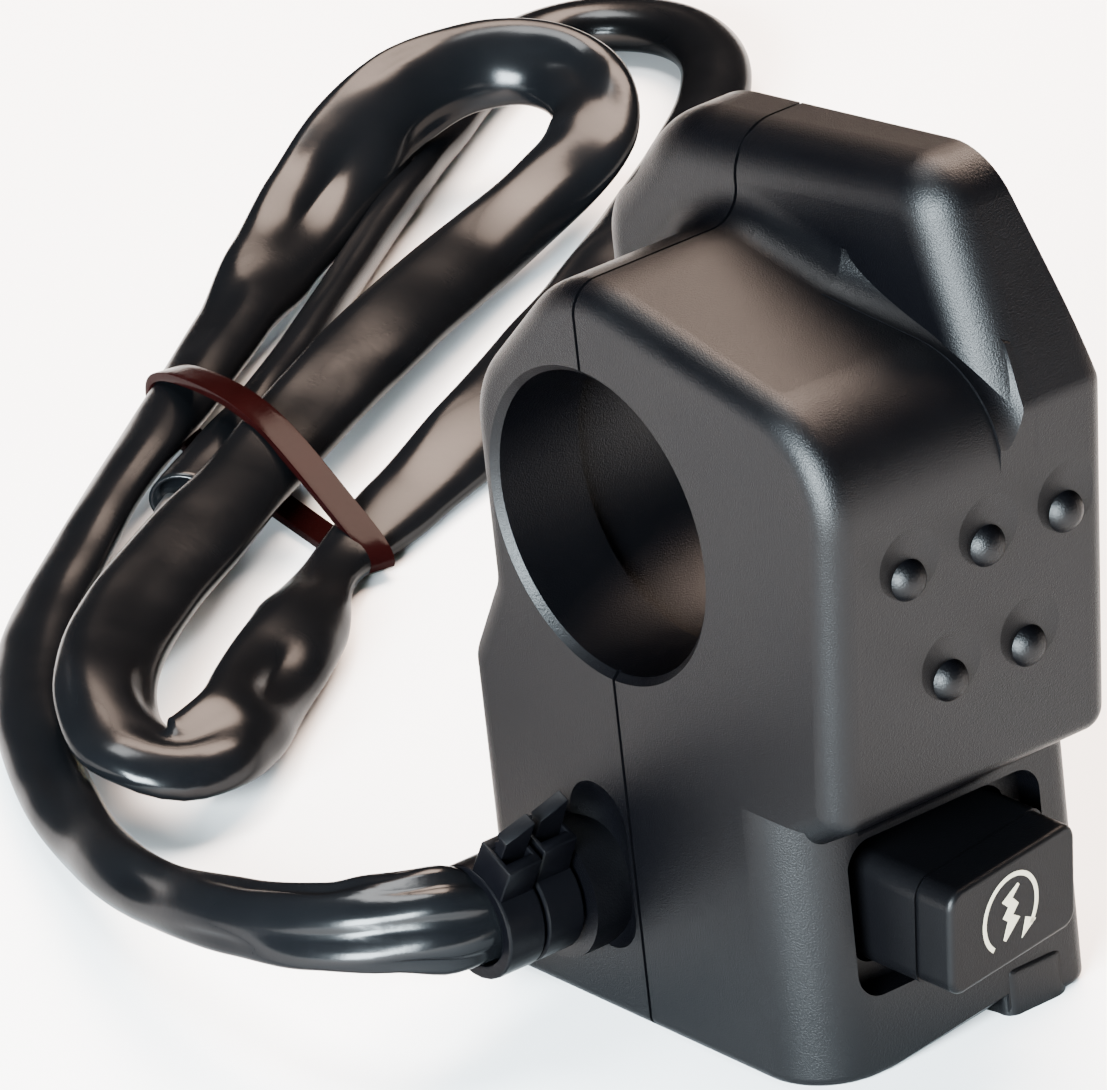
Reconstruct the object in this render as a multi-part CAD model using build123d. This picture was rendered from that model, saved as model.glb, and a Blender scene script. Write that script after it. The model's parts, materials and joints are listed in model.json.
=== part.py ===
"""Handlebar starter switch: clamp housing, push button with its contacts, and a sleeved harness.

Millimetres. The origin is the centre of the handlebar bore. X runs along the handlebar, from the
face that the cable leaves (-X) to the throttle side (+X). -Y is the rider's side, where the button
is, and +Z is up. The two housing halves meet at Y = 0.
"""
from build123d import *
from math import atan2, cos, degrees, sin, tan, pi, radians
import os

# Handlebar clamp
BORE_R = 11.1            # for a 22.2 mm handlebar
BORE_RELIEF_R = 12.0     # shallow groove in the middle of the bore
SADDLE_LENGTH = 7.5      # bearing land at each end of the bore
BORE_CHAMFER = 0.5
RING_WALL = 2.2          # least wall round the bore

# Housing, outside
WIDTH = 25.0             # along the handlebar
BOTTOM_Z = -38.3
REAR_Y = 17.0            # rear face of the lower and the raised parts
COLLAR_Y = 13.5          # rear of the slim collar beside the bore
COLLAR_FOOT_Z = -7.8
REAR_TOP_Z = -14.2       # where the rear box begins, below the collar
TOP_Z = 18.7             # ridge of the low section
RIDGE_Y = 2.0
RIDGE_R = 10.0
SHOULDER_Z = 7.2         # where the collar's rear turns over towards the ridge
SHOULDER_R = 8.0
TOP_SLOPE = 0.206        # fall of the top towards the front
FRONT_Y = -24.9          # front face of the upper box at the bore's height
FRONT_LEAN = 0.11        # the front face steps back as it goes down
BOX_BOTTOM_Z = -16.8     # lower edge of the upper box
LOWER_FRONT_Y = -18.3    # recessed face that the button stands out of
EDGE_R = 2.2             # rounding of the outer edges
LOWER_EDGE_R = 5.5       # rounder vertical edge below the upper box
BOTTOM_R = 0.8
NOSE_R = 8.0             # rounded top front edge of the low section

# Raised section on the throttle side, which holds the upper screw
RAISED_X = 2.4
RAISED_REAR_Z = 23.3
RAISED_RIDGE_Y = 8.5
RAISED_SHOULDER_Z = 14.5
RAISED_TOP_Z = 26.2
RAISED_NOSE_Y = -20.2
RAISED_FOOT_Z = 9.7      # where its sloping front meets the front face
RAISED_EDGE_R = 3.6
VALLEY_R = 2.4
VALLEY_ROOT = 0.5        # depth of its strip inside the walls that it joins
VALLEY_TURN_Y = -11.5    # from here it turns into the wall and ends there
VALLEY_TURN = 10.5       # degrees
FAR_TAPER = 5.0          # its far side leans in by this much, from LEAN_FROM_Z up to LEAN_TO_Z
LEAN_FROM_Z = 6.0
LEAN_TO_Z = 30.0

# Housing, inside
WALL = 2.2
POCKET_DEPTH = 2.3       # recess round the button
POCKET_MARGIN = 1.7
POCKET_R = 2.0
CORE_WALL = 2.6          # in front of the cored space between the bore and the front face
CORE_END_WALL = 8.15     # at each end of it
CORE_REAR_Y = -10.0      # it opens into the bore here
CORE_HEIGHT = 17.0
CAVITY_TOP_Z = -14.6
REAR_NEAR_WALL = 3.2     # thicker, behind the thumb scoop
GROOVE_WIDTH = 0.3       # shadow line where the halves meet
GROOVE_DEPTH = 0.7
FOOT_WIDTH = 6.0
FOOT_INSET = 2.0         # from the far side
FOOT_DEPTH = 0.2         # how far it stands out of the recessed face
FOOT_HEIGHT = 3.6
RELIEF_START_X = -9.0    # the bottom's front edge is bevelled more and more from here to the foot
RELIEF_DEPTH = 2.2
RELIEF_HEIGHT = 1.8

# Grip bumps on the front face
BUMP_R = 1.6
BUMP_SINK = 0.7
BUMP_PITCH = 7.0
BUMP_FIRST_X = -5.6
BUMP_UPPER_Z = 0.6
BUMP_LOWER_Z = -8.4
DISH_R = 2.3             # shallow dish round each bump
DISH_DEPTH = 0.22

# Screws that hold the halves together
SCREW_R = 1.5
SCREW_HOLE_CLEARANCE = 0.05
SCREW_HEAD_R = 2.75
SCREW_HEAD_H = 2.0
SCREW_HEAD_EDGE_R = 0.6
SCREW_RECESS = (0.7, 3.2, 1.2)       # width, length and depth of each slot of the cross recess
HEAD_CLEARANCE = 0.25
SCREW_BOSS_R = 3.2
SEAT_WALL = 1.2          # round each counterbore
SCREW_REACH = 10.5       # depth of the thread in front of the parting plane
SCREW_POINT = 0.3        # free depth beyond the end of the thread
UPPER_SCREW = (6.2, 17.3)            # X, Z
LOWER_SCREW = (0.0, -17.3)
UPPER_SEAT_Y = 8.5
LOWER_SEAT_Y = 11.0

# Button
BUTTON_WIDTH = 13.8
BUTTON_HEIGHT = 8.5
BUTTON_X = 0.5
BUTTON_Z = -26.35
BUTTON_REACH_NEAR = 8.0  # how far its slanted face stands out of the recessed face
BUTTON_REACH_FAR = 5.4
BUTTON_CLEARANCE = 0.3
BUTTON_CORNER_R = 1.5
BUTTON_EDGE_R = 0.45
CAP_DEPTH = 3.6          # the outer part of the button is a little narrower
CAP_STEP = 0.2
FLANGE_MARGIN = 1.2
FLANGE_THICKNESS = 1.5
SEAT_CLEARANCE = 0.05
TRAVEL = 2.2

# Contacts
CARRIER_SIZE = (10.0, 6.2, 2.5)      # along X, along Z, along Y
CARRIER_R = 0.8
PEG_R = 1.2              # locates the carrier in the button
PEG_LENGTH = 1.0
PEG_CLEARANCE = 0.02
POST_R = 1.0
POST_LENGTH = 2.2
BRIDGE_LENGTH = 14.0
BRIDGE_HEIGHT = 5.4
BRIDGE_THICKNESS = 0.6
POST_CLEARANCE = 0.1
CONTACT_SPACING = 11.0
CONTACT_R = 1.4
CONTACT_GAP_SPARE = 0.03
BASE_SIDE_GAP = 1.8      # from the base to the housing's side walls, on average
BASE_HEIGHT = 10.4
BASE_THICKNESS = 2.0
BASE_GAP = 4.15          # from the bridge to the base, with the button at rest
SPRING_R = 2.0           # to the middle of the wire
SPRING_WIRE = 0.45       # diameter
SPRING_TURNS = 4
SPRING_SEAT = 0.02       # free play at each end
SOCKET_DEPTH = 0.8
SOCKET_CLEARANCE = 0.25
STUD_R = 1.1
TAB_THICKNESS = 0.8
TAB_WIDTH = 3.0
TAB_LENGTH = 5.4
RIVET_CLEARANCE = 0.02
BASE_SCREW_R = 0.95
BASE_SCREW_HEAD_R = 1.9
BASE_SCREW_HEAD_H = 1.3
BASE_SCREW_REACH = 5.0
BASE_BOSS_R = 1.9
BASE_BOSS_GAP_FAR = 0.5  # from each boss to the side wall next to it
BASE_BOSS_GAP_NEAR = 1.9
BASE_SCREW_FAR_Z = -18.7
BASE_SCREW_NEAR_Z = -33.9

# Cable outlet on the rear half
OUTLET_Y = 7.3
OUTLET_Z = -29.0
SPIGOT_R = 2.6
SPIGOT_BORE_R = 1.9
SPIGOT_LENGTH = 8.5
FLANGE_R = 5.2
OUTLET_FLANGE = 2.0
SCOOP_R = 4.4            # shallow hollow in the near face, above the cable outlet
SCOOP_DEPTH = 1.3
SCOOP_Y = 3.6
SCOOP_TOP_Z = -23.6      # centres of its round ends
SCOOP_BOTTOM_Z = -30.0

# Harness
SLEEVE_R = 2.6
CUFF_WALL = 0.6
CUFF_CLEARANCE = 0.05
TIE_CLEARANCE = 0.05
TIE_THICKNESS = 1.0
TIE_WIDTH = 3.1
TIE_GAP = 0.3
TIE_HEAD = (4.4, 3.4)     # across the strap, and standing out from it
TIE_HEAD_TURN = 38.0      # degrees, from straight up towards the rider
TIE_TAIL_LENGTH = 3.6
TIE_TAIL_THICKNESS = 1.0
LEAD_R = 0.7
LEAD_SPACING = 1.7
LEAD_BEND_R = 3.0
BEND_SHARE = 0.45        # of the shorter run, taken by each arc of the sleeve
HANK_STEP = 1.0          # between the points at which the hank's gaps are measured
SOLDER_LENGTH = 0.9
SOLDER_R = 1.15
BAND_THICKNESS = 0.9
BAND_WIDTH = 2.4
BAND_CLEARANCE = 0.2
BAND_LIFT = 0.05         # from the band's lower strap up to the strands
BULLET_R = 1.2
BULLET_LENGTH = 9.0
BULLET_IN_BOOT = 5.0
BULLET_CLEARANCE = 0.02
BOOT_R = 1.6
BOOT_LENGTH = 13.0
BOOT_SPACING = 3.6
TAIL_LENGTH = 9.0
TAIL_SIDE = 1.4          # how far the pair of boots lies to the side of the sleeve's line
BOOT_REST_Z = BOTTOM_Z + BOOT_R + 0.1

# Worked out from the above
NEAR_X = -WIDTH / 2
FAR_X = WIDTH / 2
RING_R = BORE_R + RING_WALL
INNER_NEAR_X = NEAR_X + WALL
INNER_FAR_X = FAR_X - WALL
BASE_WIDTH = INNER_FAR_X - INNER_NEAR_X - 2 * BASE_SIDE_GAP
BASE_SCREWS = (          # X, Z
    (INNER_FAR_X - BASE_BOSS_R - BASE_BOSS_GAP_FAR, BASE_SCREW_FAR_Z),
    (INNER_NEAR_X + BASE_BOSS_R + BASE_BOSS_GAP_NEAR, BASE_SCREW_NEAR_Z),
)
POCKET_FLOOR_Y = LOWER_FRONT_Y + POCKET_DEPTH
PLATE_INNER_Y = POCKET_FLOOR_Y + WALL
FLANGE_Y = PLATE_INNER_Y + SEAT_CLEARANCE
CARRIER_Y = FLANGE_Y + FLANGE_THICKNESS
BRIDGE_Y = CARRIER_Y + CARRIER_SIZE[2]
BRIDGE_REAR_Y = BRIDGE_Y + BRIDGE_THICKNESS
BASE_Y = BRIDGE_REAR_Y + BASE_GAP
BASE_REAR_Y = BASE_Y + BASE_THICKNESS
CONTACT_Y = BRIDGE_REAR_Y + TRAVEL + CONTACT_GAP_SPARE
TAB_REAR_Y = BASE_REAR_Y + TAB_THICKNESS
SOLDER_REAR_Y = TAB_REAR_Y + SOLDER_LENGTH
CONTACT_XS = (BUTTON_X - CONTACT_SPACING / 2, BUTTON_X + CONTACT_SPACING / 2)
SPIGOT_END_X = NEAR_X - SPIGOT_LENGTH
CUFF_R = SPIGOT_R + CUFF_CLEARANCE + CUFF_WALL
EPS = 0.01
REACH = 2 * (RAISED_TOP_Z - BOTTOM_Z)    # of cuts that go right through or past the housing

# Route of the sleeve, chosen by hand: out of the spigot, down to the surface and round behind the
# housing, then to and fro in a tied hank. The fourth point of the exit stretch lies on the surface.
REST_Z = BOTTOM_Z + SLEEVE_R + 0.1
TIED_Z = BOTTOM_Z + BAND_THICKNESS + BAND_LIFT + SLEEVE_R
BEFORE_JOIN = (3.0, 90.0, REST_Z + 0.4)
AFTER_JOIN = (18.4, 100.4, TIED_Z)
JOIN = tuple((a + b) / 2 for a, b in zip(BEFORE_JOIN, AFTER_JOIN))
EXIT_ROUTE = [
    (SPIGOT_END_X, OUTLET_Y, OUTLET_Z), (-26.0, OUTLET_Y, OUTLET_Z), (-30.4, 11.6, -28.4),
    (-31.6, 20.4, -29.2), (-29.3, 32.8, -31.8), (-25.5, 46.6, -34.2), (-20.0, 60.2, REST_Z),
    (-13.6, 72.2, REST_Z), (-5.4, 82.6, REST_Z + 0.1), BEFORE_JOIN, JOIN,
]
HANK_ROUTE = [
    JOIN, AFTER_JOIN, (29.0, 108.0, TIED_Z), (39.9, 116.1, TIED_Z - 0.2),
    (49.3, 123.4, TIED_Z - 0.1), (57.0, 128.4, -33.6), (63.6, 131.4, -31.2), (70.2, 132.6, -28.8),
    (76.8, 131.6, -28.0), (81.6, 127.4, -28.0), (82.2, 120.8, -29.2), (77.6, 116.0, -31.4),
    (71.0, 114.4, -33.6), (63.4, 112.2, -34.9), (54.0, 107.6, -34.7), (43.0, 101.6, -33.2),
    (31.0, 94.8, -32.2), (20.0, 88.0, -31.5), (9.6, 81.4, -31.4), (-0.2, 74.6, -31.6),
    (-8.0, 68.2, -31.8), (-13.2, 62.0, -32.0), (-15.6, 55.2, -32.4), (-12.4, 49.6, -33.2),
    (-6.0, 49.4, -34.2), (-0.6, 54.2, -35.0), (8.6, 63.4, REST_Z), (19.6, 71.2, TIED_Z),
    (30.4, 78.2, TIED_Z), (41.0, 85.2, REST_Z), (52.2, 92.4, REST_Z), (63.2, 99.8, REST_Z),
    (74.8, 107.8, REST_Z), (85.8, 115.4, REST_Z), (95.4, 123.0, REST_Z), (101.8, 130.6, REST_Z),
    (103.8, 138.2, REST_Z), (100.8, 144.4, REST_Z), (94.7, 146.9, REST_Z), (87.7, 144.0, REST_Z),
    (79.0, 137.6, REST_Z), (70.1, 130.9, REST_Z), (61.1, 124.3, REST_Z), (51.3, 117.0, REST_Z),
    (42.0, 109.8, TIED_Z - 0.2), (33.2, 103.4, TIED_Z), (24.6, 97.6, TIED_Z), (16.8, 92.2, TIED_Z),
]

# The band crosses the hank at a slant, through this point and in this direction.
BAND_AT = (26.0, 93.0)
BAND_HEADING = 264.4     # degrees from +X
BAND_STRAND_POINTS = (2, 46, 16, 27)     # the hank's points next to it, one on each strand


def front_y(z):
    """Y of the leaning front face at height z."""
    return FRONT_Y - FRONT_LEAN * z


def box(x, y, z):
    """A box given by its three pairs of limits."""
    middle = Pos((x[0] + x[1]) / 2, (y[0] + y[1]) / 2, (z[0] + z[1]) / 2)
    return middle * Box(x[1] - x[0], y[1] - y[0], z[1] - z[0])


def rod_x(radius, x0, x1, y=0.0, z=0.0):
    """A cylinder along X."""
    return Pos((x0 + x1) / 2, y, z) * Rot(0, 90, 0) * Cylinder(radius, abs(x1 - x0))


def rod_y(radius, y0, y1, x=0.0, z=0.0):
    """A cylinder along Y."""
    return Pos(x, (y0 + y1) / 2, z) * Rot(90, 0, 0) * Cylinder(radius, abs(y1 - y0))


def prism(points, radii, plane, start, end):
    """A rounded outline in the given plane, pushed out from start to end along its normal."""
    outline = make_face(FilletPolyline(*points, radius=radii, close=True))
    return extrude(plane.offset(start) * outline, end - start)


def slab(x, z, radius, y0, y1):
    """A plate with rounded corners that fills x by z, between two places along Y."""
    middle = Pos((x[0] + x[1]) / 2, 0, (z[0] + z[1]) / 2)
    face = Plane((0, y1, 0), x_dir=(1, 0, 0), z_dir=(0, -1, 0)) * RectangleRounded(x[1] - x[0], z[1] - z[0], radius)
    return middle * extrude(face, y1 - y0)


def edges_at(solid, axis, place):
    """The edges that lie in one plane across an axis."""
    return solid.edges().filter_by_position(axis, place - EPS, place + EPS)


def low_profile():
    """Side outline of the whole width up to the low section's top, with its corner radii."""
    nose_z = (TOP_Z - TOP_SLOPE * (RIDGE_Y - FRONT_Y)) / (1 + TOP_SLOPE * FRONT_LEAN)
    return [
        ((COLLAR_Y, COLLAR_FOOT_Z), 2.5), ((COLLAR_Y, SHOULDER_Z), SHOULDER_R), ((RIDGE_Y, TOP_Z), RIDGE_R),
        ((front_y(nose_z), nose_z), NOSE_R),
    ] + box_profile() + [((REAR_Y, REAR_TOP_Z), 3.0)]


def raised_profile():
    """Side outline of the raised section, with its corner radii."""
    return [
        ((REAR_Y, RAISED_SHOULDER_Z), 6.0), ((RAISED_RIDGE_Y, RAISED_REAR_Z), RIDGE_R),
        ((RAISED_NOSE_Y, RAISED_TOP_Z), 4.5),
        ((front_y(RAISED_FOOT_Z), RAISED_FOOT_Z), 2.0),
    ] + box_profile()


def box_profile():
    """The part of both outlines below the bore; it runs on below the bottom, which is cut off flat."""
    return [
        ((front_y(BOX_BOTTOM_Z), BOX_BOTTOM_Z), 1.6), ((LOWER_FRONT_Y, BOX_BOTTOM_Z - 2.6), 1.0),
        ((LOWER_FRONT_Y, BOTTOM_Z - EDGE_R - 1.0), 0.5), ((REAR_Y, BOTTOM_Z - EDGE_R - 1.0), 0.5),
    ]


def section_prism(profile, x0, x1):
    """A prism across the handlebar of an outline that comes with its radii."""
    return prism([p for p, r in profile], [r for p, r in profile], Plane.YZ, x0, x1)


def valley():
    """Concave strip that leads from the low section up to the near wall of the raised one."""
    profile = low_profile()
    start = (COLLAR_Y, 0.0)
    end = (front_y(0.0), 0.0)
    points = [start] + [p for p, r in profile[1:4]] + [end]
    path = Plane.YZ.offset(RAISED_X) * FilletPolyline(*points, radius=[r for p, r in profile[1:4]])
    r = VALLEY_R
    section = make_face([
        Line((-r, -VALLEY_ROOT), (VALLEY_ROOT, -VALLEY_ROOT)), Line((VALLEY_ROOT, -VALLEY_ROOT), (VALLEY_ROOT, r)),
        Line((VALLEY_ROOT, r), (0, r)), CenterArc((-r, r), r, 0, -90), Line((-r, 0), (-r, -VALLEY_ROOT)),
    ])
    section = Plane((RAISED_X, start[0], start[1]), x_dir=(1, 0, 0), z_dir=(0, 0, 1)) * section
    strip = sweep(section, path=path)
    rear = strip & box((NEAR_X, FAR_X), (VALLEY_TURN_Y, REACH), (-REACH, REACH))
    front = strip & box((NEAR_X, FAR_X), (-REACH, VALLEY_TURN_Y + VALLEY_ROOT), (-REACH, REACH))
    turn = Pos(RAISED_X, VALLEY_TURN_Y, 0) * Rot(0, 0, VALLEY_TURN) * Pos(-RAISED_X, -VALLEY_TURN_Y, 0)
    return (rear + turn * front) & section_prism(raised_profile(), NEAR_X, FAR_X)


def housing_outside():
    """Both halves as one closed outer form, with the bore still filled."""
    low = section_prism(low_profile(), NEAR_X, FAR_X - EDGE_R)
    low = fillet(edges_at(low, Axis.X, NEAR_X), EDGE_R)

    raised = section_prism(raised_profile(), RAISED_X, FAR_X)
    raised = fillet(edges_at(raised, Axis.X, RAISED_X), RAISED_EDGE_R)
    raised = fillet(edges_at(raised, Axis.X, FAR_X), EDGE_R)
    lean = prism(
        [(FAR_X, LEAN_FROM_Z), (FAR_X + FAR_TAPER, LEAN_FROM_Z), (FAR_X + FAR_TAPER, LEAN_TO_Z),
         (FAR_X - FAR_TAPER, LEAN_TO_Z)],
        [0.1, 0.1, 0.1, 0.1], Plane.XZ, -REACH, REACH)
    whole = low + (raised - lean)

    corner = box((NEAR_X - 1.0, NEAR_X + LOWER_EDGE_R), (LOWER_FRONT_Y - 1.0, LOWER_FRONT_Y + LOWER_EDGE_R),
                 (-REACH, BOX_BOTTOM_Z - 0.6))
    corner -= Pos(NEAR_X + LOWER_EDGE_R, LOWER_FRONT_Y + LOWER_EDGE_R, 0) * Cylinder(LOWER_EDGE_R, 3 * REACH)
    below = box((-REACH, REACH), (-REACH, REACH), (-REACH, BOTTOM_Z))
    whole = whole - corner - below
    return fillet(edges_at(whole, Axis.Z, BOTTOM_Z), BOTTOM_R) + valley()


def capsule_z(radius, x, y, z0, z1):
    """A cylinder along Z with round ends centred at z0 and z1."""
    rod = Pos(x, y, (z0 + z1) / 2) * Cylinder(radius, abs(z1 - z0))
    return rod + Pos(x, y, z0) * Sphere(radius) + Pos(x, y, z1) * Sphere(radius)


def handlebar_bore():
    """Everything that is cut away along the handlebar: the bore, its groove and its chamfers."""
    bore = rod_x(BORE_R, NEAR_X - 1.0, FAR_X + 1.0)
    bore += rod_x(BORE_RELIEF_R, NEAR_X + SADDLE_LENGTH, FAR_X - SADDLE_LENGTH)
    reach = BORE_CHAMFER + 0.5
    for end, turn in ((NEAR_X, -90), (FAR_X, 90)):
        cone = Rot(0, turn, 0) * Cone(BORE_R + BORE_CHAMFER - reach, BORE_R + BORE_CHAMFER + reach, 2 * reach)
        bore += Pos(end, 0, 0) * cone
    return bore


def parting_groove():
    """Shadow line round the joint of the halves, down to GROOVE_DEPTH below the surface."""
    g = GROOVE_DEPTH
    inside = prism(
        [(NEAR_X + g, BOTTOM_Z + g), (FAR_X - g, BOTTOM_Z + g), (FAR_X - g, LEAN_FROM_Z),
         (FAR_X - FAR_TAPER, RAISED_TOP_Z - 2.0 - g), (RAISED_X + g, RAISED_TOP_Z - 2.0 - g),
         (RAISED_X + g, TOP_Z - 1.0 - g), (NEAR_X + g, TOP_Z - 1.0 - g)],
        [2.0, 2.0, 2.0, 1.5, 1.5, 1.5, 1.5], Plane.XZ, -GROOVE_WIDTH, GROOVE_WIDTH)
    band = box((-REACH, REACH), (-GROOVE_WIDTH / 2, GROOVE_WIDTH / 2), (-REACH, REACH))
    return band - inside


def button_limits(margin):
    """X and Z limits of the button's section, grown by a margin."""
    half_width = BUTTON_WIDTH / 2 + margin
    half_height = BUTTON_HEIGHT / 2 + margin
    return ((BUTTON_X - half_width, BUTTON_X + half_width), (BUTTON_Z - half_height, BUTTON_Z + half_height))


def bump_places():
    """Middles of the five grip bumps on the front face, in two staggered rows."""
    upper = [(BUMP_FIRST_X + i * BUMP_PITCH, front_y(BUMP_UPPER_Z), BUMP_UPPER_Z) for i in range(3)]
    lower = [(BUMP_FIRST_X + (i + 0.5) * BUMP_PITCH, front_y(BUMP_LOWER_Z), BUMP_LOWER_Z) for i in range(2)]
    return upper + lower


def with_bumps(half):
    """The half with its low domes, each in the middle of a shallow dish."""
    dish_sphere_r = (DISH_R ** 2 + DISH_DEPTH ** 2) / (2 * DISH_DEPTH)
    for x, y, z in bump_places():
        half -= Pos(x, y + DISH_DEPTH - dish_sphere_r, z) * Sphere(dish_sphere_r)
        half += Pos(x, y + BUMP_SINK, z) * Sphere(BUMP_R)
    return half


def foot():
    """Small rounded foot at the throttle-side front corner."""
    x1 = FAR_X - FOOT_INSET
    face = LOWER_FRONT_Y - FOOT_DEPTH
    solid = prism(
        [(x1 - FOOT_WIDTH, face), (x1, face), (x1, face + 4.0), (x1 - FOOT_WIDTH, face + 4.0)],
        [0.9, 1.8, 0.4, 0.4], Plane.XY, BOTTOM_Z, BOTTOM_Z + FOOT_HEIGHT)
    return fillet(edges_at(solid, Axis.Z, BOTTOM_Z + FOOT_HEIGHT), 0.6)


def relief():
    """Wedge that bevels the bottom's front edge, from nothing to full depth beside the foot."""
    foot_x = FAR_X - FOOT_INSET - FOOT_WIDTH
    slope = RELIEF_DEPTH / RELIEF_HEIGHT
    wedge = prism(
        [(slope, -1.0), (-2 * RELIEF_DEPTH, 2 * RELIEF_HEIGHT), (-2 * RELIEF_DEPTH, -1.0)],
        [0.1, 0.1, 0.1], Plane.YZ, -1.0, foot_x - RELIEF_START_X)
    turn = degrees(atan2(RELIEF_DEPTH, foot_x - RELIEF_START_X))
    return Pos(RELIEF_START_X, LOWER_FRONT_Y, BOTTOM_Z) * Rot(0, 0, turn) * wedge


def cavity(x0, y0, y1):
    """Inside of one half's lower box, between the walls and below the ring of the bore."""
    room = box((x0, INNER_FAR_X), (y0, y1), (BOTTOM_Z + WALL, CAVITY_TOP_Z))
    return room - rod_x(RING_R, NEAR_X, FAR_X)


def front_half(outside):
    """Rider's half: the guide of the button, and bosses for the two screws and the contact base."""
    half = outside & box((-REACH, REACH), (-REACH, 0.0), (-REACH, REACH))
    half = with_bumps(half) - relief() + foot()
    half -= cavity(INNER_NEAR_X, PLATE_INNER_Y, 1.0)

    boss = rod_y(SCREW_BOSS_R, PLATE_INNER_Y - 0.5, 0.0, LOWER_SCREW[0], LOWER_SCREW[1])
    for x, z in BASE_SCREWS:
        boss += rod_y(BASE_BOSS_R, PLATE_INNER_Y - 0.5, BASE_Y, x, z)
    half += boss

    core = box((NEAR_X + CORE_END_WALL, FAR_X - CORE_END_WALL),
               (front_y(CORE_HEIGHT / 2) + CORE_WALL, CORE_REAR_Y), (-CORE_HEIGHT / 2, CORE_HEIGHT / 2))
    half -= core

    recess_x, recess_z = button_limits(POCKET_MARGIN)
    half -= slab(recess_x, recess_z, POCKET_R, -REACH, POCKET_FLOOR_Y)
    hole_x, hole_z = button_limits(BUTTON_CLEARANCE)
    half -= slab(hole_x, hole_z, BUTTON_CORNER_R + BUTTON_CLEARANCE, -REACH, PLATE_INNER_Y + 0.5)

    hole_r = SCREW_R + SCREW_HOLE_CLEARANCE
    for x, z in (UPPER_SCREW, LOWER_SCREW):
        half -= rod_y(hole_r, -SCREW_REACH - SCREW_POINT, 1.0, x, z)
    for x, z in BASE_SCREWS:
        half -= rod_y(BASE_SCREW_R + SCREW_HOLE_CLEARANCE, BASE_Y - BASE_SCREW_REACH - SCREW_POINT, BASE_Y + 1.0, x, z)
    return half - handlebar_bore() - parting_groove()


def rear_half(outside):
    """Far half: the seats of the screws and the outlet of the cable."""
    half = outside & box((-REACH, REACH), (0.0, REACH), (-REACH, REACH))
    half -= cavity(NEAR_X + REAR_NEAR_WALL, -1.0, REAR_Y - WALL)
    seat_r = SCREW_HEAD_R + HEAD_CLEARANCE
    x, z = LOWER_SCREW
    half += rod_y(SCREW_BOSS_R, 0.0, REAR_Y - 1.0, x, z) + rod_y(seat_r + SEAT_WALL, LOWER_SEAT_Y - WALL, REAR_Y - 1.0, x, z)
    half += rod_x(FLANGE_R, NEAR_X - OUTLET_FLANGE, NEAR_X + 1.0, OUTLET_Y, OUTLET_Z)
    half += rod_x(SPIGOT_R, SPIGOT_END_X, NEAR_X, OUTLET_Y, OUTLET_Z)

    half -= capsule_z(SCOOP_R, NEAR_X + SCOOP_DEPTH - SCOOP_R, SCOOP_Y, SCOOP_BOTTOM_Z, SCOOP_TOP_Z) - \
        rod_x(FLANGE_R, -REACH, 0.0, OUTLET_Y, OUTLET_Z)
    half -= rod_x(SPIGOT_BORE_R, SPIGOT_END_X - 1.0, NEAR_X + REAR_NEAR_WALL + 1.0, OUTLET_Y, OUTLET_Z)
    for (x, z), seat_y in ((UPPER_SCREW, UPPER_SEAT_Y), (LOWER_SCREW, LOWER_SEAT_Y)):
        half -= rod_y(SCREW_R + SCREW_HOLE_CLEARANCE, -1.0, seat_y + 1.0, x, z)
        half -= rod_y(seat_r, seat_y, REACH, x, z)
    return half - handlebar_bore() - parting_groove()


def screw(x, z, seat_y, radius, reach, head_r, head_h, recess):
    """A pan-head screw along Y whose head sits on seat_y, with a cross recess."""
    body = rod_y(radius, seat_y - reach, seat_y + 0.1, x, z)
    body = chamfer(edges_at(body, Axis.Y, seat_y - reach), radius * 0.3)
    head = rod_y(head_r, seat_y, seat_y + head_h, x, z)
    head = fillet(edges_at(head, Axis.Y, seat_y + head_h), SCREW_HEAD_EDGE_R)
    width, length, depth = recess
    top = (seat_y + head_h - depth, seat_y + head_h + 1.0)
    cross = box((x - width / 2, x + width / 2), top, (z - length / 2, z + length / 2))
    cross += box((x - length / 2, x + length / 2), top, (z - width / 2, z + width / 2))
    return body + head - cross


def housing_screws():
    recess = SCREW_RECESS
    return [
        screw(x, z, seat_y, SCREW_R, seat_y + SCREW_REACH, SCREW_HEAD_R, SCREW_HEAD_H, recess)
        for (x, z), seat_y in ((UPPER_SCREW, UPPER_SEAT_Y), (LOWER_SCREW, LOWER_SEAT_Y))
    ]


def base_screws():
    recess = [0.65 * size for size in SCREW_RECESS]
    return [
        screw(x, z, BASE_REAR_Y, BASE_SCREW_R, BASE_THICKNESS + BASE_SCREW_REACH,
              BASE_SCREW_HEAD_R, BASE_SCREW_HEAD_H, recess)
        for x, z in BASE_SCREWS
    ]


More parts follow.
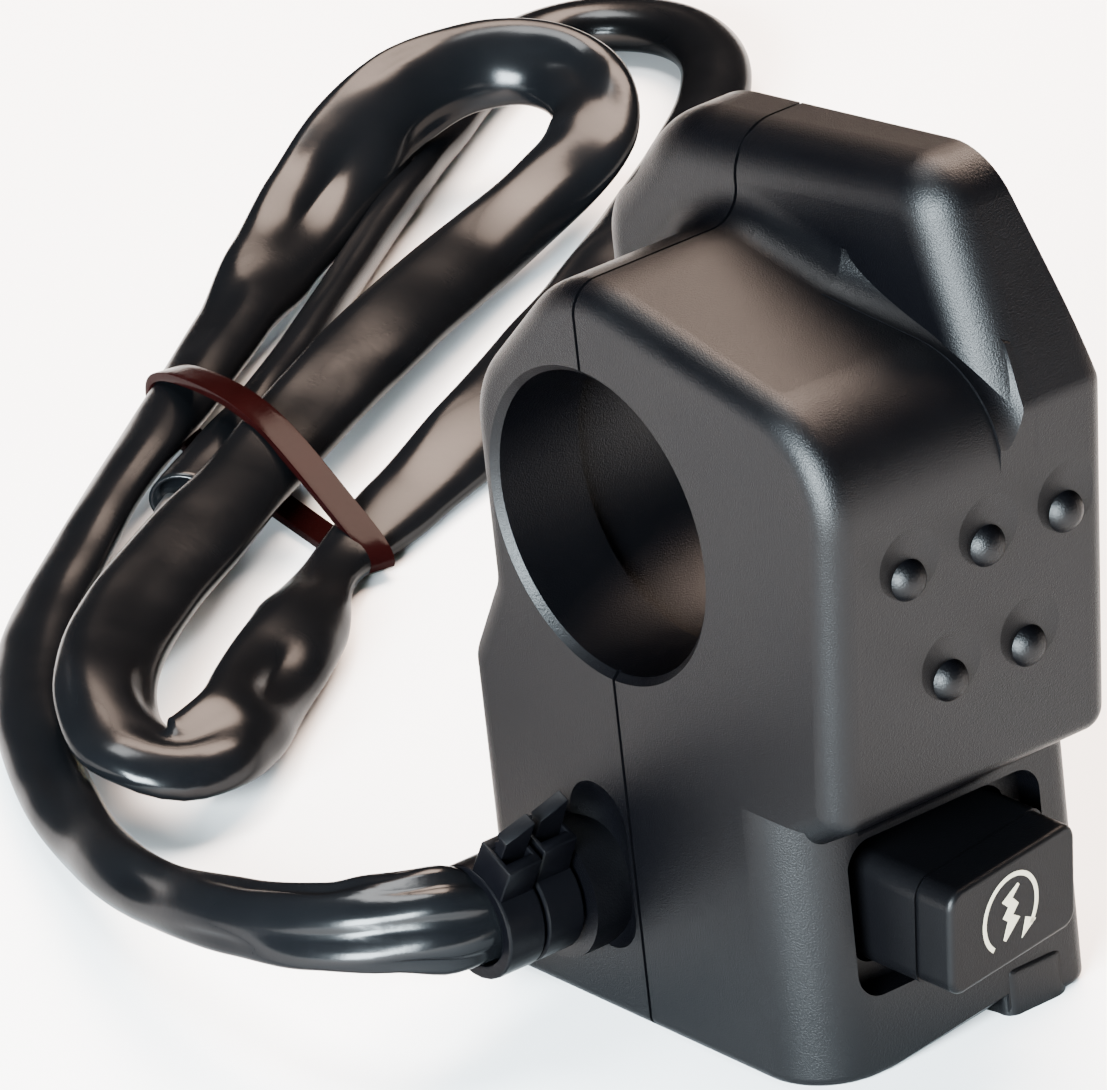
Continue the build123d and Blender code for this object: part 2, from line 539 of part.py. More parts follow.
def start_button():
    """Push button: a slanted cap, a stem that slides in the housing and a flange behind the plate."""
    lean = FRONT_LEAN
    yaw = (BUTTON_REACH_NEAR - BUTTON_REACH_FAR) / BUTTON_WIDTH
    normal = Vector(-yaw, 1.0, lean)
    middle_y = LOWER_FRONT_Y - (BUTTON_REACH_NEAR + BUTTON_REACH_FAR) / 2
    face = Plane((BUTTON_X, middle_y, BUTTON_Z), z_dir=normal)
    shoulder = Plane((BUTTON_X, middle_y + CAP_DEPTH, BUTTON_Z), z_dir=normal)

    cap_x, cap_z = button_limits(-CAP_STEP)
    cap = slab(cap_x, cap_z, BUTTON_CORNER_R - CAP_STEP, middle_y - BUTTON_WIDTH, POCKET_FLOOR_Y)
    cap = split(cap, bisect_by=face, keep=Keep.TOP)
    cap = fillet(cap.faces().sort_by(Axis.Y)[0].edges(), BUTTON_EDGE_R)
    stem_x, stem_z = button_limits(0.0)
    stem = slab(stem_x, stem_z, BUTTON_CORNER_R, middle_y - BUTTON_WIDTH, FLANGE_Y + 0.2)
    stem = split(stem, bisect_by=shoulder, keep=Keep.TOP)
    flange_x, flange_z = button_limits(FLANGE_MARGIN)
    flange = slab(flange_x, flange_z, BUTTON_CORNER_R, FLANGE_Y, CARRIER_Y)
    peg_hole = rod_y(PEG_R + PEG_CLEARANCE, CARRIER_Y - PEG_LENGTH - 0.1, CARRIER_Y + 1.0, BUTTON_X, BUTTON_Z)
    return cap + stem + flange - peg_hole


def contact_carrier():
    """Block on the back of the button, with a peg into it and a post for the bridge and the spring."""
    width, height, depth = CARRIER_SIZE
    block = slab((BUTTON_X - width / 2, BUTTON_X + width / 2), (BUTTON_Z - height / 2, BUTTON_Z + height / 2),
                 CARRIER_R, CARRIER_Y, BRIDGE_Y)
    block += rod_y(PEG_R, CARRIER_Y - PEG_LENGTH, CARRIER_Y + 0.2, BUTTON_X, BUTTON_Z)
    return block + rod_y(POST_R, BRIDGE_Y - 0.2, BRIDGE_Y + POST_LENGTH, BUTTON_X, BUTTON_Z)


def contact_bridge():
    """Brass strip that joins the two fixed contacts when the button is pressed."""
    half = (BRIDGE_LENGTH / 2, BRIDGE_HEIGHT / 2)
    strip = slab((BUTTON_X - half[0], BUTTON_X + half[0]), (BUTTON_Z - half[1], BUTTON_Z + half[1]),
                 CARRIER_R, BRIDGE_Y, BRIDGE_REAR_Y)
    return strip - rod_y(POST_R + POST_CLEARANCE, BRIDGE_Y - 1.0, BRIDGE_REAR_Y + 1.0, BUTTON_X, BUTTON_Z)


def return_spring():
    """Compression spring between the bridge and the socket of the contact base."""
    start_y = BRIDGE_REAR_Y + SPRING_SEAT + SPRING_WIRE / 2
    end_y = BASE_Y + SOCKET_DEPTH - SPRING_SEAT - SPRING_WIRE / 2
    length = end_y - start_y
    helix = Plane((BUTTON_X, start_y, BUTTON_Z), x_dir=(1, 0, 0), z_dir=(0, 1, 0)) * \
        Helix(length / SPRING_TURNS, length, SPRING_R)
    return sweep(Plane(helix @ 0, z_dir=helix % 0) * Circle(SPRING_WIRE / 2), path=helix)


def contact_base():
    """Insulating plate that holds the fixed contacts, with an ear for each of its screws."""
    half = (BASE_WIDTH / 2, BASE_HEIGHT / 2)
    plate = slab((BUTTON_X - half[0], BUTTON_X + half[0]), (BUTTON_Z - half[1], BUTTON_Z + half[1]),
                 CARRIER_R, BASE_Y, BASE_REAR_Y)
    for x, z in BASE_SCREWS:
        plate += rod_y(BASE_BOSS_R, BASE_Y, BASE_REAR_Y, x, z)
        plate += box((x - BASE_BOSS_R, x + BASE_BOSS_R), (BASE_Y, BASE_REAR_Y), (min(z, BUTTON_Z), max(z, BUTTON_Z)))
    for x, z in BASE_SCREWS:
        plate -= rod_y(BASE_SCREW_R + SCREW_HOLE_CLEARANCE, BASE_Y - 1.0, BASE_REAR_Y + 1.0, x, z)
    for x in CONTACT_XS:
        plate -= rod_y(STUD_R + RIVET_CLEARANCE, BASE_Y - 1.0, BASE_REAR_Y + 1.0, x, BUTTON_Z)
    socket_r = SPRING_R + SPRING_WIRE / 2 + SOCKET_CLEARANCE
    return plate - rod_y(socket_r, BASE_Y - 1.0, BASE_Y + SOCKET_DEPTH, BUTTON_X, BUTTON_Z)


def terminal(x):
    """Fixed contact: a domed stud through the base with its solder tab behind."""
    stud = rod_y(STUD_R, CONTACT_Y + 0.3, BASE_REAR_Y + 0.2, x, BUTTON_Z)
    head = rod_y(CONTACT_R, CONTACT_Y, BASE_Y, x, BUTTON_Z)
    head = fillet(edges_at(head, Axis.Y, CONTACT_Y), 0.25)
    tab = slab((x - TAB_WIDTH / 2, x + TAB_WIDTH / 2), (BUTTON_Z - TAB_LENGTH + TAB_WIDTH / 2, BUTTON_Z + TAB_WIDTH / 2),
               1.0, BASE_REAR_Y, TAB_REAR_Y)
    return stud + head + tab


def lead_heights():
    """The two leads run one above the other, so that they cross freely on their way out."""
    return (OUTLET_Z - LEAD_SPACING / 2, OUTLET_Z + LEAD_SPACING / 2)


def solder_joints():
    found = []
    for x, z in zip(CONTACT_XS, lead_heights()):
        drop = rod_y(SOLDER_R, TAB_REAR_Y, SOLDER_REAR_Y, x, z)
        found.append(fillet(edges_at(drop, Axis.Y, SOLDER_REAR_Y), 0.35))
    return found


def lead(x, z):
    """Insulated wire from a solder joint to the end of the spigot."""
    start = (x, SOLDER_REAR_Y, z)
    path = FilletPolyline(start, (x, OUTLET_Y, z), (SPIGOT_END_X, OUTLET_Y, z), radius=LEAD_BEND_R)
    return sweep(Plane(start, z_dir=(0, 1, 0)) * Circle(LEAD_R), path=path)


def cord_path(points):
    """Straight runs joined by arcs that take 45 percent of the shorter run at each turn."""
    radii = []
    for i in range(1, len(points) - 1):
        into = Vector(*points[i]) - Vector(*points[i - 1])
        out = Vector(*points[i + 1]) - Vector(*points[i])
        half_turn = radians(into.get_angle(out)) / 2
        radii.append(BEND_SHARE * min(into.length, out.length) / tan(half_turn))
    return FilletPolyline(*points, radius=radii), radii


def tube_along(points, radius):
    """A solid tube along a cord's route."""
    path, radii = cord_path(points)
    solid = sweep(Plane(path @ 0, z_dir=path % 0) * Circle(radius), path=path)
    return solid, path, radii


def sleeve_exit():
    """The free stretch of the sleeve, with the cuff that it is pushed on to the spigot with."""
    solid, path, radii = tube_along(EXIT_ROUTE, SLEEVE_R)
    start = NEAR_X - OUTLET_FLANGE - CUFF_CLEARANCE
    cuff = rod_x(CUFF_R, SPIGOT_END_X - CUFF_WALL, start, OUTLET_Y, OUTLET_Z)
    cuff -= rod_x(SPIGOT_R + CUFF_CLEARANCE, SPIGOT_END_X, start + 1.0, OUTLET_Y, OUTLET_Z)
    return solid + cuff, path, radii


def cable_ties():
    """Two straps side by side round the cuff, each with its head and the stub of its cut tail."""
    found = []
    inner = CUFF_R + TIE_CLEARANCE
    outer = inner + TIE_THICKNESS
    first = NEAR_X - OUTLET_FLANGE - TIE_GAP
    for i in range(2):
        x1 = first - i * (TIE_WIDTH + TIE_GAP)
        x0 = x1 - TIE_WIDTH
        middle = (x0 + x1) / 2
        strap = rod_x(outer, x0, x1, OUTLET_Y, OUTLET_Z)
        head = Pos(0, 0, outer + TIE_HEAD[1] / 2 - TIE_THICKNESS) * Box(TIE_WIDTH + 0.2, TIE_HEAD[0], TIE_HEAD[1])
        head = fillet(head.edges().filter_by(Axis.X), 0.4)
        tail = Pos(0, TIE_HEAD[0] * 0.1, outer + TIE_TAIL_LENGTH / 2) * \
            Box(TIE_WIDTH - 0.6, TIE_TAIL_THICKNESS, TIE_TAIL_LENGTH + TIE_HEAD[1])
        strap += Pos(middle, OUTLET_Y, OUTLET_Z) * Rot(TIE_HEAD_TURN, 0, 0) * (head + tail)
        found.append(strap - rod_x(inner, x0 - 1.0, x1 + 1.0, OUTLET_Y, OUTLET_Z))
    return found


def band_crossings():
    """Where the hank's strands cross the band: distance along the band, height, and half width."""
    along = Vector(cos(radians(BAND_HEADING)), sin(radians(BAND_HEADING)))
    across = Vector(-along.Y, along.X)
    at = Vector(*BAND_AT)
    found = []
    for a, b in zip(HANK_ROUTE, HANK_ROUTE[1:]):
        side_a = (Vector(a[0], a[1]) - at).dot(across)
        side_b = (Vector(b[0], b[1]) - at).dot(across)
        if side_a * side_b < 0:
            share = side_a / (side_a - side_b)
            point = Vector(*a) + (Vector(*b) - Vector(*a)) * share
            run = (Vector(b[0], b[1]) - Vector(a[0], a[1])).normalized()
            slant = abs(run.dot(across))
            half_width = SLEEVE_R / slant + BAND_WIDTH / 2 * abs(run.dot(along)) / slant
            found.append(((Vector(point.X, point.Y) - at).dot(along), point.Z, half_width))
    return sorted(found)


def hank_band():
    """Flat band round the four strands of the hank; it lies on the surface below them."""
    strands = band_crossings()
    near, third, far = strands[0], max(strands, key=lambda s: s[1]), strands[-1]
    lift = SLEEVE_R + BAND_CLEARANCE
    floor = BOTTOM_Z + BAND_THICKNESS
    u0 = near[0] - near[2] - BAND_CLEARANCE
    u1 = far[0] + far[2] + BAND_CLEARANCE
    points = [(u0, floor), (u1, floor), (u1, far[1] + lift), (third[0] + 2.0, third[1] + lift),
              (third[0] - 2.0, third[1] + lift), (u0, near[1] + lift)]
    inner = make_face(FilletPolyline(*points, radius=[2.2, 2.2, 2.4, 4.0, 4.0, 2.4], close=True))
    ring = offset(inner, amount=BAND_THICKNESS) - inner
    along = (cos(radians(BAND_HEADING)), sin(radians(BAND_HEADING)), 0)
    plane = Plane((BAND_AT[0], BAND_AT[1], 0), x_dir=along, z_dir=(along[1], -along[0], 0))
    return extrude(plane * ring, BAND_WIDTH / 2, both=True)


def tail_frame():
    """Plane at the cut end of the sleeve that looks along the tails, with Y up."""
    end = Vector(*HANK_ROUTE[-1])
    run = end - Vector(*HANK_ROUTE[-2])
    run = Vector(run.X, run.Y, 0).normalized()
    return Plane(end, x_dir=(-run.Y, run.X, 0), z_dir=run)


def tails():
    """The wires that come out of the sleeve, their bullet terminals and the boots on them."""
    frame = tail_frame()
    drop = BOOT_REST_Z - HANK_ROUTE[-1][2]
    wires, bullets, boots = [], [], []
    for side in (-1, 1):
        x0 = side * LEAD_SPACING / 2
        x1 = TAIL_SIDE + side * BOOT_SPACING / 2
        route = [(x0, 0, 0), (x0, 0, 0.25 * TAIL_LENGTH), (x1, drop, 0.75 * TAIL_LENGTH), (x1, drop, TAIL_LENGTH)]
        route = [tuple(frame.from_local_coords(Vector(*p))) for p in route]
        path = FilletPolyline(*route, radius=2.0)
        wires.append(sweep(Plane(path @ 0, z_dir=path % 0) * Circle(LEAD_R), path=path))
        mouth = Pos(x1, drop, TAIL_LENGTH)
        boot = mouth * (Pos(0, 0, BOOT_LENGTH / 2) * Cylinder(BOOT_R, BOOT_LENGTH))
        boot = fillet(boot.edges().sort_by(Axis.Z)[:1], 0.5)
        boot -= Pos(x1, drop, TAIL_LENGTH + BOOT_LENGTH - BULLET_IN_BOOT) * \
            extrude(Circle(BULLET_R + BULLET_CLEARANCE), BULLET_IN_BOOT + 1.0)
        bullet = Pos(x1, drop, TAIL_LENGTH + BOOT_LENGTH - BULLET_IN_BOOT) * extrude(Circle(BULLET_R), BULLET_LENGTH)
        bullet = fillet(bullet.edges().sort_by(Axis.Z)[-1:], BULLET_R * 0.6)
        boots.append(frame * boot)
        bullets.append(frame * bullet)
    return wires, bullets, boots


def least_gap(path, radius):
    """Least clear distance of a tube to itself, between points more than a few diameters apart."""
    count = int(path.length / HANK_STEP)
    points = [path @ (i / count) for i in range(count + 1)]
    apart = int(6 * radius / HANK_STEP) + 1
    nearest = min((points[i] - points[j]).length for i in range(count + 1) for j in range(i + apart, count + 1))
    return nearest - 2 * radius


def save(name, shape):
    """Write one node, a solid or several that belong together, and print its size."""
    solids = shape if isinstance(shape, list) else [shape]
    node = Compound(children=[s for part in solids for s in part.solids()])
    export_step(node, "parts/" + name + ".step")
    low, high = node.bounding_box().min, node.bounding_box().max
    print("%-16s %d solids, %.1f mm3, from (%.1f, %.1f, %.1f) to (%.1f, %.1f, %.1f)" % (
        name, len(node.solids()), sum(s.volume for s in node.solids()), low.X, low.Y, low.Z, high.X, high.Y, high.Z))


def report_cord(name, solid, path, radii, radius):
    """Print a cord's length, its bends and how well its volume agrees with its length."""
    print("%s: length %.1f mm, least bend radius %.1f mm, volume over section times length %.3f" % (
        name, path.length, min(radii), solid.volume / (pi * radius ** 2 * path.length)))


def main():
    os.makedirs("parts", exist_ok=True)
    outside = housing_outside()
    save("front_housing", front_half(outside))
    save("rear_housing", rear_half(outside))
    save("housing_screws", housing_screws())
    save("start_button", start_button())
    save("contact_carrier", contact_carrier())
    save("contact_bridge", contact_bridge())
    save("return_spring", return_spring())
    save("contact_base", contact_base())
    save("base_screws", base_screws())
    save("terminal_left", terminal(CONTACT_XS[0]))
    save("terminal_right", terminal(CONTACT_XS[1]))
    save("solder_joints", solder_joints())
    save("lead_feed", lead(CONTACT_XS[0], lead_heights()[0]))
    save("lead_return", lead(CONTACT_XS[1], lead_heights()[1]))
    save("cable_ties", cable_ties())

    exit_solid, exit_path, exit_radii = sleeve_exit()
    save("sleeve_exit", exit_solid)
    hank_solid, hank_path, hank_radii = tube_along(HANK_ROUTE, SLEEVE_R)
    save("sleeve_hank", hank_solid)
    save("hank_band", hank_band())
    wires, bullets, boots = tails()
    save("tail_wires", wires)
    save("bullet_terminals", bullets)
    save("bullet_boots", boots)
    report_cord("sleeve_exit, with its cuff", exit_solid, exit_path, exit_radii, SLEEVE_R)
    report_cord("sleeve_hank", hank_solid, hank_path, hank_radii, SLEEVE_R)
    print("sleeve in all: %.1f mm" % (exit_path.length + hank_path.length))
    print("the hank's least gap to itself: %.2f mm" % least_gap(hank_path, SLEEVE_R))


if __name__ == "__main__":
    main()
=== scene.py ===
"""Looks of the handlebar starter switch: camera, light, finishes, and its soft and fine pieces.

Metres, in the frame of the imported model: X along the handlebar, -Y towards the rider, +Z up,
with the origin in the middle of the handlebar bore.
"""
import json
import math

import bmesh
import bpy
from mathutils import Matrix, Vector


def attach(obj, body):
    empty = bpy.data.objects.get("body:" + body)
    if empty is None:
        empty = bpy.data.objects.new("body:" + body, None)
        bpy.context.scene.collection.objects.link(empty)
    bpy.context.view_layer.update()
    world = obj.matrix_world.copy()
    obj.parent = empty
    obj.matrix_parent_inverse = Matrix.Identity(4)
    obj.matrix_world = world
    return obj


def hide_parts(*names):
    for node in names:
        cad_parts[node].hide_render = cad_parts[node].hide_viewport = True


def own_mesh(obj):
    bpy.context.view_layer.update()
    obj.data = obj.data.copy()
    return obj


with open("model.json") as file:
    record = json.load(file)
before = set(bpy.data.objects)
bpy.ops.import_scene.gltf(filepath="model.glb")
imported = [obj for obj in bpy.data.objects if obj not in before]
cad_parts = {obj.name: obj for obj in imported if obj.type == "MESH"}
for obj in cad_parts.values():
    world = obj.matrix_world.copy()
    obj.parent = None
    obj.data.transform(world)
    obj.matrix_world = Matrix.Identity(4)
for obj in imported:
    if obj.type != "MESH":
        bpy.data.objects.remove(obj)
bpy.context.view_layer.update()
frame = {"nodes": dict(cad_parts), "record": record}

MM = 0.001

# The photograph's camera, found from the bore and the housing's corners
CAMERA_PLACE = (-0.4437, -0.5829, 0.3219)
CAMERA_RIGHT = Vector((0.7743, -0.6244, -0.1025))
CAMERA_UP = Vector((0.3295, 0.2597, 0.9077))
CAMERA_LENS = 379.0
CAMERA_REACH = 10.0
SENSOR_WIDTH = 36.0

# Studio
FLOOR_Z = -0.0383
FLOOR_SIZE = 2.4
LAMPS_LOOK_AT = Vector((0.02, 0.05, 0.0))
# Each lamp: name, direction it stands in, distance, width, height, power in watts, and colour
LAMPS = [
    ("lamp_left", (-0.84, -0.46, 0.24), 0.9, 0.46, 0.40, 120.0, (0.80, 0.93, 1.0)),
    ("lamp_overhead", (0.0, 0.30, 1.0), 1.0, 0.40, 0.40, 18.0, (0.96, 0.99, 1.0)),
    ("lamp_back", (0.57, 0.30, 0.72), 1.0, 0.76, 0.56, 72.0, (1.0, 0.76, 0.62)),
]
# Colour and strength of the light from all round, and of the backdrop seen past the floor
SURROUND = ((0.60, 0.50, 0.45), 0.04)
BACKDROP = ((0.93, 0.93, 0.93), 1.7)

# Housing sizes that the fine pieces follow
OUTLET = Vector((-0.0145, 0.0073, -0.0290))
CUFF_R = 0.00325
BUTTON_MIDDLE = Vector((0.0005, -0.0250, -0.02635))
BUTTON_YAW = 2.6 / 13.8                 # slant of the button's face, from left to right
BUTTON_LEAN = 0.11                      # and from top to bottom

# Cable ties: their straps round the cuff,
STRAP_THICKNESS = 0.0010
STRAP_WIDTH = 0.0032
STRAP_MIDDLES = (-0.01645, -0.0199)     # X of each cable tie
STRAP_SIDES = 26
STRAP_EDGE = 0.00018
STRAP_OUTSIDE = CUFF_R + STRAP_THICKNESS
# their heads, each with a slot in its top,
HEAD_SIZE = (0.0030, 0.0034, 0.0034)    # along the handlebar, across the strap, and standing out
HEAD_TURNS = (26.0, 30.0)               # degrees from straight up towards the rider
HEAD_SUNK = 0.0007                      # how far a head reaches into its strap
HEAD_EDGE = 0.00028
SLOT_RIM = 0.00055
SLOT_SHAPE = (1.15, 0.62, 1)            # the slot against the top less its rim
SLOT_DEPTH = 0.0011
# and their tails, toothed on one face and cut off at a slant
TAIL_LENGTH = 0.0042                    # from the strap's outside to the lower side of the cut
TAIL_SECTION = (0.0023, 0.0011)
TAIL_Y = 0.0003
TAIL_CUTS = 9                           # every other one is pressed in between two teeth
TOOTH_DEPTH = 0.0003
TAIL_SLANT = 0.0011
TAIL_EDGE = 0.00008
TIE_SMOOTH = math.radians(22)

# Start symbol printed on the button, in mm where it is an outline
SYMBOL_PLACE = (-0.00035, 0.0)          # on the button's face, from its middle
SYMBOL_R = 0.00285
SYMBOL_STROKE = 0.00036
RING_SIDES = 72
RING_GAP = (231, 322)                   # degrees between which the ring is open
INK_THICKNESS = 0.00006
SAME_POINT = 0.000001                   # points closer than this are joined
ARROW_HEAD = [(2.75, -1.65), (1.65, -1.05), (1.22, -2.55)]
FLASH = [
    (0.75, 2.0), (0.95, 1.8), (0.17, 1.1), (0.85, 0.4), (0.23, -0.25), (1.0, -0.75),
    (-0.55, -2.05), (-0.78, -1.85), (-0.3, -0.6), (-0.85, -0.15), (-0.25, 0.5), (-0.95, 1.15),
]

# Band round the hank: it crosses the strands through this point and in this direction
BAND_AT = (0.0256, 0.0930)
BAND_HEADING = math.radians(259.0)
BAND_THICKNESS = 0.0007
BAND_WIDTH = 0.0024
BAND_EDGE = 0.00022
BAND_SMOOTH = math.radians(40)          # edges sharper than this stay sharp
# Its outline round the four strands: distance along the band, and height, in mm
BAND_LOOP = [
    (-19.0, -35.6), (-18.4, -33.6), (-15.4, -32.3), (-11.0, -31.5), (-6.5, -30.9), (-2.5, -30.7),
    (1.5, -31.0), (5.0, -31.8), (8.5, -32.8), (12.0, -33.9), (15.2, -34.9), (17.9, -35.8),
    (19.0, -36.9), (17.8, -37.9), (8.0, -37.9), (-6.0, -37.9), (-17.6, -37.8),
]

# Sleeve
SLEEVE_SIDES = 40
RING_STEP = 0.0008      # from one ring of points to the next
SPLINE_STEPS = 12
LOOK_AHEAD = 0.03       # a route point's nearest spot is sought this far on from the last one
ABOVE_FLOOR = 0.00005   # gap that keeps the sleeve's underside off the floor
MOUTH_SHARE = 0.86      # the open end's inner edge against its outer edge
MOUTH_DEPTH = 0.0015
REST = -35.6            # height of a strand that lies on the surface, in mm
TIED = -34.75           # and where the band's lower strap is under it

# Each point of the sleeve's route: X, Y, Z, the section's width and thickness, all in mm, and how
# far the flat section is rolled over, in degrees. A section of 6.5 by 6.5 is round, on the spigot.
SLEEVE_ROUTE = [
    # from the spigot down to the surface, and along it to the hank
    (-14.5, 7.3, -29.0, 6.5, 6.5, -50), (-20.9, 7.3, -29.0, 6.5, 6.5, -50),
    (-23.6, 7.4, -27.9, 7.9, 6.3, -52), (-27.6, 9.0, -27.1, 7.3, 3.8, -50),
    (-30.8, 13.2, -27.7, 6.4, 3.3, -48), (-31.6, 20.8, -28.9, 5.7, 3.3, -50),
    (-29.9, 33.6, -31.9, 4.8, 3.3, -50), (-25.5, 46.8, -34.4, 4.9, 3.6, -38),
    (-19.6, 60.2, -35.7, 5.5, 3.4, -20), (-12.9, 72.3, -35.8, 5.6, 3.3, -10),
    # first strand of the hank
    (-4.7, 82.8, -35.9, 5.7, 3.2, -8), (3.9, 89.8, -35.6, 5.4, 3.2, -8),
    (18.4, 100.4, -34.8, 5.6, 3.4, -8), (29.0, 108.0, -34.7, 5.8, 3.4, 0),
    (39.9, 116.1, -34.6, 6.0, 3.6, 10), (49.3, 123.0, -34.4, 7.4, 3.4, 30),
    (57.0, 127.6, -33.2, 8.6, 3.6, 38), (63.6, 130.6, -31.2, 8.9, 3.6, 44),
    # raised loop over the far end
    (70.2, 132.4, -29.2, 8.4, 3.8, 54), (77.2, 132.0, -28.6, 7.4, 4.0, 60),
    (81.8, 128.0, -28.6, 7.2, 4.0, 54), (82.0, 121.2, -29.6, 7.4, 4.0, 30),
    (77.6, 116.2, -31.4, 7.4, 3.8, -8), (71.0, 114.4, -33.2, 7.2, 3.6, -24),
    # second strand, back on top of the others
    (63.4, 112.2, -34.2, 7.2, 3.4, -30), (54.0, 107.6, -33.8, 7.4, 3.4, -26),
    (43.0, 101.6, -33.2, 7.6, 3.4, -22), (31.0, 94.9, -33.1, 7.4, 3.4, -22),
    (20.0, 88.0, -33.1, 6.8, 3.2, -22), (9.6, 81.4, -32.6, 7.6, 3.4, -24),
    (-0.2, 74.6, -31.9, 7.8, 3.6, -22), (-8.0, 68.2, -31.8, 7.8, 3.8, -22),
    # creased bend at the near end
    (-13.2, 61.8, -32.0, 8.0, 4.0, -20), (-15.8, 55.2, -33.1, 8.2, 4.2, -10),
    (-12.9, 51.5, -33.3, 7.8, 4.2, 24), (-6.3, 54.2, -33.8, 7.6, 4.2, 40),
    (-0.9, 59.0, -34.2, 7.8, 4.0, 38), (8.4, 66.2, -34.8, 7.8, 3.8, 34),
    # third strand, pinched under the band
    (17.6, 75.8, -36.6, 4.6, 2.8, 10), (29.4, 81.0, -36.3, 6.3, 3.0, 20),
    (41.0, 85.6, -35.2, 7.2, 3.4, 30), (52.2, 92.4, -35.3, 7.2, 3.4, 26),
    (63.2, 99.8, REST, 6.8, 3.6, 12), (74.8, 107.8, REST, 6.6, 3.8, 0),
    # loop at the far end
    (85.8, 115.4, REST, 6.4, 3.8, 0), (95.4, 123.0, REST, 6.0, 4.0, 0),
    (101.8, 130.6, REST, 5.8, 4.2, 0), (103.8, 138.2, REST, 5.8, 4.4, 0),
    (100.8, 144.4, REST, 5.8, 4.4, 0), (94.7, 146.9, REST, 5.8, 4.2, 0),
    # last strand, edge up between the others, to the sleeve's open end
    (87.7, 144.0, REST, 5.6, 4.0, 0), (79.0, 137.6, REST, 5.4, 3.8, 20),
    (70.1, 130.9, REST, 5.4, 3.4, 46), (61.1, 124.3, REST, 5.4, 3.2, 53),
    (51.3, 117.0, REST, 5.4, 3.2, 53), (42.0, 109.8, TIED - 0.6, 5.4, 3.4, 53),
    (33.2, 103.4, TIED - 0.4, 5.4, 3.6, 53), (24.6, 97.6, TIED, 5.4, 4.0, 20),
    (16.8, 92.2, TIED, 5.4, 4.4, 0),
]

# Folds pressed into the sleeve: distance along it and half length, in mm, then how many run side
# by side, how deep they are in mm, and where round the section the first one is, in degrees.
SLEEVE_FOLDS = [
    (10.5, 3.5, 7, 0.60, 20), (17.0, 5.0, 4, 0.60, 60), (27.0, 6.0, 3, 0.55, 150),
    (40.0, 5.0, 2, 0.60, 95), (66.0, 9.0, 2, 0.45, 100), (120.0, 10.0, 1, 0.70, 200),
    (150.0, 8.0, 2, 0.50, 60), (172.0, 7.0, 1, 1.20, 95), (187.0, 5.0, 3, 0.60, 30),
    (204.0, 6.0, 2, 0.70, 80), (222.0, 6.0, 2, 0.60, 20), (262.0, 9.0, 1, 0.50, 100),
    (300.0, 9.0, 1, 0.60, 80), (318.0, 5.0, 3, 0.60, 40), (331.0, 5.0, 2, 0.90, 70),
    (345.0, 6.0, 1, 1.20, 100), (358.0, 7.0, 2, 0.60, 20),
]
FOLD_REACH = 2.5        # a fold fades out at this many half lengths
FOLD_SHARPNESS = 3      # the higher, the narrower each fold is

# Finishes: what every surface has in common
GRAIN_HEIGHT = 0.00006
PATCH_RANGE = (0.3, 0.7)        # of the patches' mask, over which the gloss changes
VIEW_RANGE = (0.08, 0.48)       # from face on, 0, to edge on, 1, over which the shine changes
PLAIN_SHINE = (0.5, 0.5)
METAL_LIGHTER = 1.12            # a metal's lighter shade against its colour


def select_none():
    if bpy.context.object and bpy.context.object.mode != "OBJECT":
        bpy.ops.object.mode_set(mode="OBJECT")
    bpy.ops.object.select_all(action="DESELECT")


def make_active(obj):
    select_none()
    obj.select_set(True)
    bpy.context.view_layer.objects.active = obj


def apply_place(obj):
    """Puts the object's place into its mesh, so that it sits at the origin, unturned."""
    make_active(obj)
    bpy.ops.object.transform_apply(location=True, rotation=True, scale=True)


def apply_modifiers(obj):
    make_active(obj)
    for modifier in list(obj.modifiers):
        bpy.ops.object.modifier_apply(modifier=modifier.name)


def give_wall(obj, thickness):
    """Thickens a surface by the same amount to both sides."""
    wall = obj.modifiers.new("wall", "SOLIDIFY")
    wall.thickness = thickness
    wall.offset = 0.0


def round_edges(obj, width, segments, sharper_than=30.0):
    """Rounds the edges that are sharper than an angle in degrees."""
    edge = obj.modifiers.new("edge", "BEVEL")
    edge.width = width
    edge.segments = segments
    edge.limit_method = "ANGLE"
    edge.angle_limit = math.radians(sharper_than)


def join_pieces(pieces, main):
    """Makes one piece of several, under the main one's name."""
    select_none()
    for piece in pieces:
        piece.select_set(True)
    bpy.context.view_layer.objects.active = main
    bpy.ops.object.join()


def pick_faces(obj, wanted):
    """Selects only the faces that are wanted, in edit mode."""
    mesh = bmesh.from_edit_mesh(obj.data)
    for face in mesh.faces:
        face.select_set(wanted(face))
    bmesh.update_edit_mesh(obj.data)


def pick_points(obj, wanted):
    """Selects only the points that are wanted, in edit mode."""
    mesh = bmesh.from_edit_mesh(obj.data)
    for vertex in mesh.verts:
        vertex.select_set(wanted(vertex))
    mesh.select_flush_mode()
    bmesh.update_edit_mesh(obj.data)


def move_points(obj, indices, place):
    """Moves some points of a piece so that their middle comes to a place, in edit mode."""
    bpy.ops.mesh.select_all(action="DESELECT")
    mesh = bmesh.from_edit_mesh(obj.data)
    mesh.verts.ensure_lookup_table()
    for vertex in mesh.verts:
        vertex.select = False
    middle = Vector((0, 0, 0))
    for index in indices:
        mesh.verts[index].select = True
        middle += mesh.verts[index].co / len(indices)
    mesh.select_flush_mode()
    bmesh.update_edit_mesh(obj.data)
    bpy.ops.transform.translate(value=place - middle)


